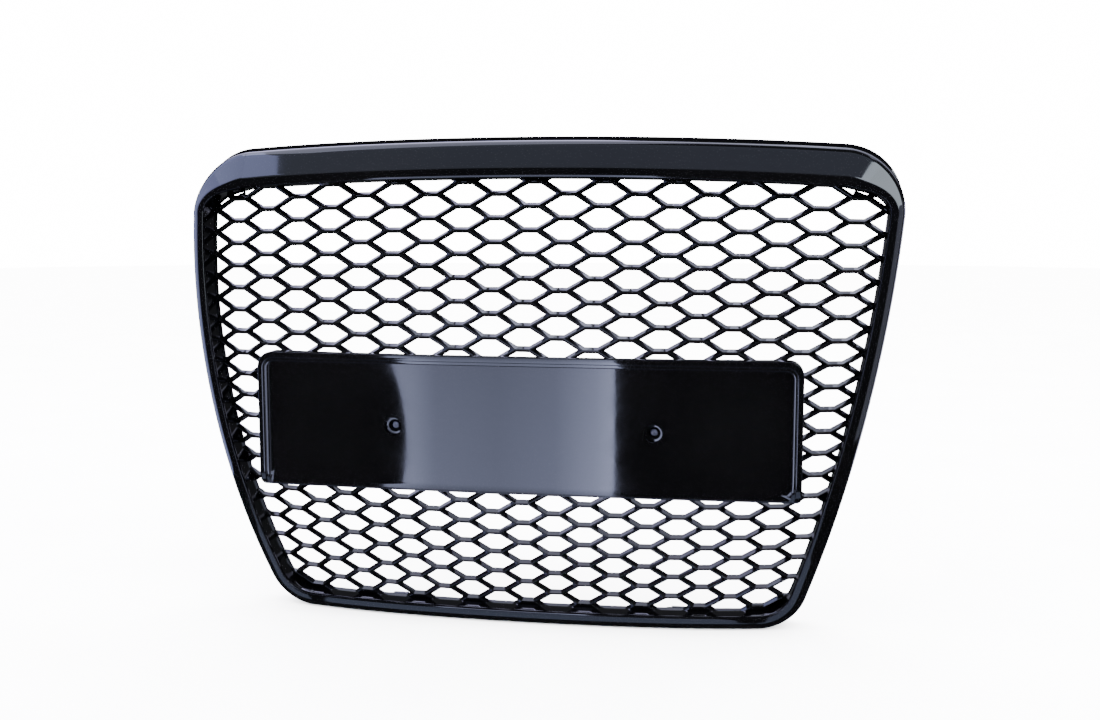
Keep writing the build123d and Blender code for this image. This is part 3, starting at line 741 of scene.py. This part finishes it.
def zipper(outer, inner, vertices, faces):
    """Triangles between two loops of indices round the same middle, matched by angle."""
    mx = sum(vertices[i][0] for i in inner) / len(inner)
    mz = sum(vertices[i][2] for i in inner) / len(inner)

    def angle(i):
        return math.atan2(vertices[i][2] - mz, vertices[i][0] - mx)

    a = sorted(outer, key=angle)
    b = sorted(inner, key=angle)
    i = j = 0
    while i < len(a) or j < len(b):
        here_a, here_b = a[i % len(a)], b[j % len(b)]
        next_a = angle(a[i]) if i < len(a) else math.inf
        next_b = angle(b[j]) if j < len(b) else math.inf
        if next_a <= next_b:
            faces.append((here_a, a[(i + 1) % len(a)], here_b))
            i += 1
        else:
            faces.append((here_a, here_b, b[(j + 1) % len(b)]))
            j += 1


def cell_walls(polygon, parts):
    """Bars' inner sides round one opening, or a plain web where the opening is too small."""
    opening = clip(polygon, half_planes(polygon, HALF_BAR))
    if not opening or area(opening) < SMALLEST_OPENING:
        for depth in (-BAR_FRONT, BAR_BACK):
            web = [(x, bar_depth(x, z, depth), z) for x, z in polygon]
            parts.append((web, [tuple(range(len(web)))]))
        return
    vertices, faces, loops = [], [], []
    for inset, depth in BAR_SECTION:
        ring = polygon if inset == 0 else clip(polygon, half_planes(polygon, inset))
        start = len(vertices)
        vertices.extend([(x, bar_depth(x, z, depth), z) for x, z in ring])
        loops.append(list(range(start, start + len(ring))))
    for outer, inner in zip(loops, loops[1:]):
        if len(outer) == len(inner):
            first_x, _, first_z = vertices[outer[0]]
            gaps = [math.hypot(vertices[i][0] - first_x, vertices[i][2] - first_z) for i in inner]
            shift = gaps.index(min(gaps))
            matched = inner[shift:] + inner[:shift]
            for k in range(len(outer)):
                n = (k + 1) % len(outer)
                faces.append((outer[k], outer[n], matched[n], matched[k]))
        else:
            zipper(outer, inner, vertices, faces)
    parts.append((vertices, faces))


def honeycomb():
    """Bars round every opening, ended at the flange."""
    rim_lines = half_planes(closed_outline(BARS_END, 2))
    parts = []
    for row in ROWS:
        for column in range(-COLUMNS - 2, COLUMNS + 3):
            if (row - column) % 2:
                continue
            polygon = clip(cell_corners(column, row), rim_lines)
            if polygon:
                cell_walls(polygon, parts)
    return joined(parts)


def flange():
    """Band outside the openings that the mesh screws hold."""
    inner, outer = closed_outline(BARS_END, 4), closed_outline(FLANGE_END, 4)
    levels = (
        # curve, the other curve, share of the way to it, depth
        (inner, outer, 0.0, -BAR_FRONT),
        (outer, inner, 0.05, -BAR_FRONT),
        (outer, inner, 0.0, 0.5 - BAR_FRONT),
        (outer, inner, 0.0, BAR_BACK - 0.5),
        (outer, inner, 0.05, BAR_BACK),
        (inner, outer, 0.0, BAR_BACK),
    )
    rows = []
    for curve, other, share, depth in levels:
        row = []
        for (ax, az), (bx, bz) in zip(curve, other):
            x, z = ax + (bx - ax) * share, az + (bz - az) * share
            row.append((x, mesh_depth(x, z) + depth, z))
        rows.append(row)
    return bridge(rows)


def mesh_cups():
    """Cups behind the mesh that take the carrier's wells."""
    parts = []
    for side in (-1, 1):
        front = mesh_depth(side * SCREW_OFFSET, SCREW_HEIGHT) - BAR_FRONT + 1.0
        profile = (
            (CUP_INSIDE, front), (CUP_OUTSIDE, front),
            (CUP_OUTSIDE, CUP_BACK - 0.8), (CUP_OUTSIDE - 0.8, CUP_BACK),
            (SCREW_HOLE + 0.5, CUP_BACK), (SCREW_HOLE, CUP_BACK - 0.5), (SCREW_HOLE, CUP_FLOOR),
            (CUP_INSIDE - 0.4, CUP_FLOOR), (CUP_INSIDE, CUP_FLOOR - 0.4), (CUP_INSIDE, front),
        )
        parts.append(lathe(profile, side * SCREW_OFFSET, SCREW_HEIGHT, 56))
    return joined(parts)


def cut_spot_faces(band):
    """Cuts the flat seats of the mesh screws into the flange."""
    parts = []
    axis = 0.001
    for x, z in mesh_screw_places():
        seat = footprint_depth(x, z, SPOT_FACE) + BAR_BACK - 0.4
        clear = seat + 12
        profile = ((axis, seat), (SPOT_FACE, seat), (SPOT_FACE, clear), (axis, clear))
        parts.append(lathe(profile, x, z, 36))
    vertices, faces = joined(parts)
    mesh = bpy.data.meshes.new("seats")
    mesh.from_pydata([to_frame(*v) for v in vertices], [], faces)
    build = bmesh.new()
    build.from_mesh(mesh)
    bmesh.ops.remove_doubles(build, verts=build.verts, dist=5e-6)
    bmesh.ops.recalc_face_normals(build, faces=build.faces)
    build.to_mesh(mesh)
    build.free()
    cutter = bpy.data.objects.new("seats", mesh)
    bpy.context.scene.collection.objects.link(cutter)
    change = band.modifiers.new("seats", "BOOLEAN")
    change.object = cutter
    change.solver = "EXACT"
    bpy.context.view_layer.update()
    result = bpy.data.meshes.new_from_object(band.evaluated_get(bpy.context.evaluated_depsgraph_get()))
    band.modifiers.clear()
    band.data = result
    bpy.data.objects.remove(cutter)


def clear_cups(bars):
    """Cuts the bars away inside the cups, so that the wells stay open."""
    build = bmesh.new()
    build.from_mesh(bars.data)
    radius = BARS_CUT_AT_CUP / 1000
    for side in (-1, 1):
        middle = to_frame(side * SCREW_OFFSET, 0.0, SCREW_HEIGHT)

        def near(place, reach):
            return math.hypot(place.x - middle.x, place.z - middle.z) < reach

        for k in range(24):
            angle = 2 * math.pi * k / 24
            outwards = Vector((math.cos(angle), 0.0, math.sin(angle)))
            faces = [f for f in build.faces if near(f.calc_center_median(), 2 * radius)]
            edges = list({e for f in faces for e in f.edges})
            verts = list({v for f in faces for v in f.verts})
            bmesh.ops.bisect_plane(build, geom=verts + edges + faces, dist=1e-7,
                                   plane_co=middle + outwards * radius, plane_no=outwards)
        inside = [f for f in build.faces if near(f.calc_center_median(), radius)]
        bmesh.ops.delete(build, geom=inside, context="FACES")
    build.to_mesh(bars.data)
    build.free()


clear_cups(add_object("honeycomb_bars", *honeycomb(), "mesh_gloss", "honeycomb_mesh", 28.0, True))
add_object("honeycomb_flange", *flange(), "mesh_gloss", "honeycomb_mesh", 30.0)
add_object("honeycomb_cups", *mesh_cups(), "mesh_gloss", "honeycomb_mesh", 30.0)


# ---------------------------------------------------------------- number plate carrier


def carrier_loop(inset, top_radius, base_radius, base_inset, steps=10):
    """Points of a rounded rectangle inside the carrier's outline, from the middle of the base round."""
    half = PLATE_HALF_WIDTH + LIP_WIDTH - inset
    high = PLATE_TOP + LIP_WIDTH - inset
    low = PLATE_BASE - BASE_EDGE + base_inset
    points = []

    def line(x0, z0, x1, z1, count):
        for k in range(count):
            points.append((x0 + (x1 - x0) * k / count, z0 + (z1 - z0) * k / count))

    def corner(cx, cz, radius, start):
        for k in range(steps):
            angle = start + math.pi / 2 * k / steps
            points.append((cx + radius * math.cos(angle), cz + radius * math.sin(angle)))

    line(-half + base_radius, low, half - base_radius, low, 60)
    corner(half - base_radius, low + base_radius, base_radius, -math.pi / 2)
    line(half, low + base_radius, half, high - top_radius, 14)
    corner(half - top_radius, high - top_radius, top_radius, 0.0)
    line(half - top_radius, high, -half + top_radius, high, 60)
    corner(-half + top_radius, high - top_radius, top_radius, math.pi / 2)
    line(-half, high - top_radius, -half, low + base_radius, 14)
    corner(-half + base_radius, low + base_radius, base_radius, math.pi)
    return points


def lip_share(z):
    """How much of the lip's height is left near the base, where it runs out."""
    return smooth((z - (PLATE_BASE - BASE_EDGE)) / LIP_RUN_OUT)


def carrier_rear(x, z):
    """Depth of the rear edge of the carrier's skirt."""
    return max(mesh_depth(x, z) - BAR_FRONT - MESH_GAP, panel_depth(x) + PANEL_THICKNESS)


def carrier_front():
    """Lip, step and the edge of the panel, as loops from the skirt's rear inwards."""
    levels = (
        # inset, base inset, height of the lip, top radius, base radius
        (0.0, 0.0, None, 15.0, 5.0),
        (0.0, 0.0, 0.55, 15.0, 5.0),
        (0.0, 0.0, LIP_HEIGHT - 0.9, 15.0, 5.0),
        (0.12, 0.1, LIP_HEIGHT - 0.45, 14.9, 4.9),
        (0.45, 0.35, LIP_HEIGHT - 0.12, 14.6, 4.7),
        (0.9, 0.6, LIP_HEIGHT, 14.2, 4.5),
        (5.4, 1.1, LIP_HEIGHT, 10.7, 4.2),
        (5.85, 1.15, LIP_HEIGHT - 0.15, 10.3, 4.2),
        (6.1, 1.2, LIP_HEIGHT - 0.6, 10.1, 4.2),
        (6.15, 1.25, LIP_HEIGHT / 2 + 0.4, 10.0, 4.2),
        (6.3, 1.3, LIP_HEIGHT / 2 + 0.05, 9.8, 4.2),
        (6.6, 1.35, LIP_HEIGHT / 2, 9.6, 4.2),
        (8.8, 1.7, LIP_HEIGHT / 2, 7.6, 4.2),
        (9.3, 1.75, LIP_HEIGHT / 2 - 0.2, 7.2, 4.2),
        (9.5, 1.8, LIP_HEIGHT / 2 - 0.6, 7.0, 4.2),
        (9.55, 1.9, 0.3, 7.0, 4.2),
        (9.75, 2.0, 0.0, 6.8, 4.2),
    )
    rows = []
    for inset, base_inset, height, top_radius, base_radius in levels:
        row = []
        for x, z in carrier_loop(inset, top_radius, base_radius, base_inset):
            if height is None:
                y = carrier_rear(x, z)
            else:
                y = panel_depth(x) - height * lip_share(z)
            row.append((x, y, z))
        rows.append(row)
    inside = carrier_loop(WALL, 12.3, 2.3, WALL)
    skirt = [(x, carrier_rear(x, z), z) for x, z in inside]
    ledge = [(x, panel_depth(x) + PANEL_THICKNESS, z) for x, z in inside]
    vertices, faces = bridge([ledge, skirt] + rows)
    return vertices, faces, rows[-1], ledge


def panel_face(edge, behind, radii):
    """One face of the panel: a grid with a round hole at each well, tied to the edge loop."""
    half_square = 12.0
    left, right = -PLATE_HALF_WIDTH + 6.0, PLATE_HALF_WIDTH - 6.0
    low, high = PLATE_BASE - BASE_EDGE + 8.0, PLATE_TOP - 8.0
    stops = [left, *(s * SCREW_OFFSET + t * half_square for s in (-1, 1) for t in (-1, 1)), right]
    levels = [low, SCREW_HEIGHT - half_square, SCREW_HEIGHT + half_square, high]
    xs = [left]
    for a, b in zip(stops, stops[1:]):
        count = 8 if abs((a + b) / 2) > 1 and b - a < 30 else max(2, round((b - a) / 8))
        xs.extend([a + (b - a) * (k + 1) / count for k in range(count)])
    zs = [low]
    for a, b in zip(levels, levels[1:]):
        count = 8 if b - a < 30 and a > low else max(2, round((b - a) / 8))
        zs.extend([a + (b - a) * (k + 1) / count for k in range(count)])
    vertices, faces, index = [], [], {}

    def vertex(x, z):
        key = (round(x, 3), round(z, 3))
        if key not in index:
            index[key] = len(vertices)
            vertices.append((x, panel_depth(x) + behind, z))
        return index[key]

    for x0, x1 in zip(xs, xs[1:]):
        for z0, z1 in zip(zs, zs[1:]):
            mx, mz = (x0 + x1) / 2, (z0 + z1) / 2
            if abs(abs(mx) - SCREW_OFFSET) < half_square and abs(mz - SCREW_HEIGHT) < half_square:
                continue
            faces.append((vertex(x0, z0), vertex(x1, z0), vertex(x1, z1), vertex(x0, z1)))
    for side in (-1, 1):
        cx = side * SCREW_OFFSET
        square = []
        near_x = sorted(x for x in xs if abs(x - cx) < half_square + 1e-6)
        near_z = sorted(z for z in zs if abs(z - SCREW_HEIGHT) < half_square + 1e-6)
        square += [(x, near_z[0]) for x in near_x]
        square += [(near_x[-1], z) for z in near_z[1:]]
        square += [(x, near_z[-1]) for x in reversed(near_x[:-1])]
        square += [(near_x[0], z) for z in reversed(near_z[1:-1])]
        start = [vertex(x, z) for x, z in square]
        for radius in radii:
            ring = []
            for x, z in square:
                angle = math.atan2(z - SCREW_HEIGHT, x - cx)
                across, up = radius * math.cos(angle), radius * math.sin(angle)
                ring.append(vertex(cx + across, SCREW_HEIGHT + up))
            for k in range(len(ring)):
                n = (k + 1) % len(ring)
                faces.append((start[k], start[n], ring[n], ring[k]))
            start = ring
    border = [(x, low) for x in xs]
    border += [(right, z) for z in zs[1:]]
    border += [(x, high) for x in reversed(xs[:-1])]
    border += [(left, z) for z in reversed(zs[1:-1])]
    inner = [vertex(x, z) for x, z in border]
    first = len(vertices)
    vertices.extend(edge)
    outer = list(range(first, first + len(edge)))
    stitch(outer, inner, vertices, faces)
    return vertices, faces


def stitch(outer, inner, vertices, faces):
    """Triangles between two loops with different counts, matched by share of the way round."""

    def shares(loop):
        start = min(range(len(loop)), key=lambda i: vertices[loop[i]][0] + vertices[loop[i]][2])
        loop = loop[start:] + loop[:start]
        lengths = [0.0]
        for a, b in zip(loop, loop[1:] + loop[:1]):
            lengths.append(lengths[-1] + math.dist(vertices[a], vertices[b]))
        return loop, [v / lengths[-1] for v in lengths]

    a, along_a = shares(outer)
    b, along_b = shares(inner)
    i = j = 0
    while i < len(a) or j < len(b):
        if j >= len(b) or (i < len(a) and along_a[i + 1] <= along_b[j + 1]):
            faces.append((a[i % len(a)], a[(i + 1) % len(a)], b[j % len(b)]))
            i += 1
        else:
            faces.append((a[i % len(a)], b[(j + 1) % len(b)], b[j % len(b)]))
            j += 1


def wells():
    """Turned wells for the plate screws: a mouth, a wide step, a chamfered ring and a bore."""
    parts = []
    for side in (-1, 1):
        x = side * SCREW_OFFSET
        front = panel_depth(x)
        floor_depth = front + WELL_FLOOR
        mouth = (
            (WELL_MOUTH + 0.35, front + 0.02), (WELL_MOUTH + 0.12, front + 0.12),
            (WELL_MOUTH, front + 0.45), (WELL_MOUTH - 0.05, floor_depth - 0.4),
        )
        ring = (
            (WELL_MOUTH - 0.3, floor_depth - 0.05), (6.5, floor_depth), (6.2, floor_depth + 0.02),
            (5.95, floor_depth + 0.15), (4.1, floor_depth + 1.85), (WELL_BORE, floor_depth + 2.2),
        )
        seat = (
            (WELL_BORE, SCREW_SEAT_DEPTH), (SCREW_HOLE, SCREW_SEAT_DEPTH), (SCREW_HOLE, WELL_BACK),
        )
        outside = (
            (WELL_OUTSIDE - 0.5, WELL_BACK), (WELL_OUTSIDE, WELL_BACK - 0.5),
            (WELL_OUTSIDE, front + PANEL_THICKNESS - 0.4),
        )
        profile = mouth + ring + seat + outside
        parts.append(lathe(profile, x, SCREW_HEIGHT, 96))
    return joined(parts)


front_vertices, front_faces, panel_edge, rear_edge = carrier_front()
add_object("carrier_panel", *joined([
    (front_vertices, front_faces),
    panel_face(panel_edge, 0.0, (10.2, 9.2, WELL_MOUTH + 0.35)),
    panel_face(rear_edge, PANEL_THICKNESS, (WELL_OUTSIDE,)),
]), "carrier_gloss", "plate_carrier", 50.0)
add_object("carrier_wells", *wells(), "carrier_gloss", "plate_carrier", 40.0)
cut_spot_faces(bpy.data.objects["honeycomb_flange"])


# ---------------------------------------------------------------- carried-over CAD nodes

SLOT_OF = {entry["node"]: entry["material_slot"] for entry in frame["record"]["subparts"]}
for name, piece in frame["nodes"].items():
    if not piece.hide_render:
        piece.data.materials.clear()
        piece.data.materials.append(MATERIALS[SLOT_OF[name]])


# ---------------------------------------------------------------- floor, light and camera


def floor_material():
    """Matt pale floor with a faint mottle."""
    made, tree, shader = material("studio_floor")
    mottle = ramp(tree, noise_node(tree, 6.0, 4.0), (0.86, 0.86, 0.87), (0.90, 0.90, 0.91))
    tree.links.new(mottle, shader.inputs["Base Color"])
    shader.inputs["Roughness"].default_value = 0.85
    return made


def plane(name, corners, made):
    """Flat piece of the studio."""
    mesh = bpy.data.meshes.new(name)
    mesh.from_pydata(corners, [], [tuple(range(len(corners)))])
    mesh.materials.append(made)
    obj = bpy.data.objects.new(name, mesh)
    bpy.context.scene.collection.objects.link(obj)
    return obj


floor = plane("floor", [(-9, -9, 0), (9, -9, 0), (9, 9, 0), (-9, 9, 0)], floor_material())
floor.visible_glossy = False


def glow_material(name, strength):
    """Material that only emits; returns it with its tree and the colour's socket."""
    made, tree, _ = material(name)
    tree.nodes.clear()
    emission = tree.nodes.new("ShaderNodeEmission")
    emission.inputs["Strength"].default_value = strength
    emission.inputs["Color"].default_value = (1, 1, 1, 1)
    output = tree.nodes.new("ShaderNodeOutputMaterial")
    tree.links.new(emission.outputs[0], output.inputs[0])
    return made, tree, emission.inputs["Color"]


def backdrop():
    """White dome round the studio, unseen in reflections."""
    mesh = bpy.data.meshes.new("backdrop")
    build = bmesh.new()
    bmesh.ops.create_uvsphere(build, u_segments=32, v_segments=16, radius=8.5)
    build.to_mesh(mesh)
    build.free()
    mesh.materials.append(glow_material("backdrop_glow", 16.0)[0])
    dome = bpy.data.objects.new("backdrop", mesh)
    bpy.context.scene.collection.objects.link(dome)
    dome.visible_glossy = False
    dome.visible_shadow = False


backdrop()
world = bpy.data.worlds.new("studio")
world.use_nodes = True
background = world.node_tree.nodes["Background"]
background.inputs["Color"].default_value = (0.85, 0.88, 1.0, 1)
background.inputs["Strength"].default_value = 0.05
bpy.context.scene.world = world


def softbox(name, place, target, width, height, radiance, colour):
    """Rectangular light whose face has the given radiance."""
    light = bpy.data.lights.new(name, "AREA")
    light.shape = "RECTANGLE"
    light.size, light.size_y = width, height
    light.energy = radiance * math.pi * width * height
    light.color = colour
    obj = bpy.data.objects.new(name, light)
    obj.location = place
    direction = Vector(target) - Vector(place)
    obj.rotation_euler = direction.to_track_quat("-Z", "Y").to_euler()
    bpy.context.scene.collection.objects.link(obj)


SOFTBOX_LEVELS = (
    # share of the way across, brightness
    (0.0, 0.62), (0.02, 0.7), (0.12, 0.62), (0.22, 0.42),
    (0.5, 0.38), (0.75, 0.45), (0.92, 0.72), (1.0, 1.0),
)


def front_softbox():
    """Tall softbox in front, left of the camera: brightest at its right edge, with a curved left one."""
    made, tree, colour = glow_material("front_softbox_glow", 10.5)
    place = tree.nodes.new("ShaderNodeTexCoord")
    split = tree.nodes.new("ShaderNodeSeparateXYZ")
    tree.links.new(place.outputs["Generated"], split.inputs[0])
    across = tree.nodes.new("ShaderNodeValToRGB")
    stops = across.color_ramp.elements
    for position, level in SOFTBOX_LEVELS:
        if position in (0.0, 1.0):
            stop = stops[-int(position)]
        else:
            stop = stops.new(position)
        stop.color = (level * 0.62, level * 0.68, level, 1)
    tree.links.new(split.outputs["X"], across.inputs["Fac"])
    down = ramp(tree, split.outputs["Z"], 1.0, 0.55, 0.2, 0.65)
    mixed = tree.nodes.new("ShaderNodeMixRGB")
    mixed.blend_type = "MULTIPLY"
    mixed.inputs["Fac"].default_value = 1.0
    tree.links.new(across.outputs["Color"], mixed.inputs[1])
    tree.links.new(down, mixed.inputs[2])
    tree.links.new(mixed.outputs[0], colour)
    left, right, low, high, depth = -0.935, -0.095, -0.9, 1.25, -2.2
    bulge, bulge_middle, bulge_reach = 0.075, -0.22, 0.24
    corners = [(left, depth, low), (right, depth, low), (right, depth, high), (left, depth, high)]
    for k in range(13):
        share = 1 - k / 6
        corners.append((left + bulge * (1 - share**2), depth, bulge_middle + bulge_reach * share))
    plane("front_softbox", corners, made).visible_camera = False


def softbox_towards(name, direction, distance, width, height, radiance, colour):
    """Softbox in a direction from the grille's middle, facing it."""
    softbox(name, CENTRE + Vector(direction) * distance, CENTRE, width, height, radiance, colour)


CENTRE = Vector((0.0, 0.0, 0.24))
front_softbox()
softbox_towards("back_left", (-0.42, 0.68, 0.62), 2.6, 2.2, 1.5, 2.7, (0.68, 0.67, 1.0))
softbox_towards("back_right", (0.38, 0.57, 0.73), 2.7, 2.3, 1.6, 1.7, (0.74, 0.76, 1.0))
softbox("ceiling_back", (-0.5, 0.85, 2.7), (-0.3, 0.4, 0.0), 2.6, 1.3, 2.4, (0.74, 0.76, 1.0))
softbox("ceiling", (-0.7, -0.7, 2.7), (-0.7, -0.7, 0.0), 5.0, 1.6, 0.6, (0.66, 0.74, 1.0))
softbox("left_wall", (-2.2, 0.0, 1.15), (0.0, 0.0, 0.85), 1.7, 3.9, 3.0, (0.5, 0.55, 1.0))
softbox("low_front", (-0.4, -1.5, -1.5), (-0.1, 0.0, 0.1), 2.6, 1.3, 1.2, (0.55, 0.65, 1.0))
softbox("right_wall", (2.6, -0.4, 0.5), (0.0, 0.0, 0.3), 1.6, 2.4, 1.0, (0.7, 0.74, 1.0))
softbox_towards("right_high", (0.70, -0.23, 0.66), 2.4, 1.0, 1.1, 6.0, (0.8, 0.9, 1.0))
softbox("right_back", (2.0, 1.5, 0.1), CENTRE, 0.8, 1.6, 3.0, (0.7, 0.7, 1.0))

camera_data = bpy.data.cameras.new("camera")
camera_data.lens = 43.02
camera_data.sensor_width = 36.0
camera = bpy.data.objects.new("camera", camera_data)
right = Vector((0.9845, 0.1752, 0.0))
up = Vector((-0.0204, 0.1145, 0.9932))
forward = Vector((-0.1740, 0.9779, -0.1163))
turn = Matrix((right, up, -forward)).transposed().to_4x4()
camera.matrix_world = Matrix.Translation(to_frame(250.6, -1250.7, 172.6)) @ turn
bpy.context.scene.collection.objects.link(camera)
bpy.context.scene.camera = camera
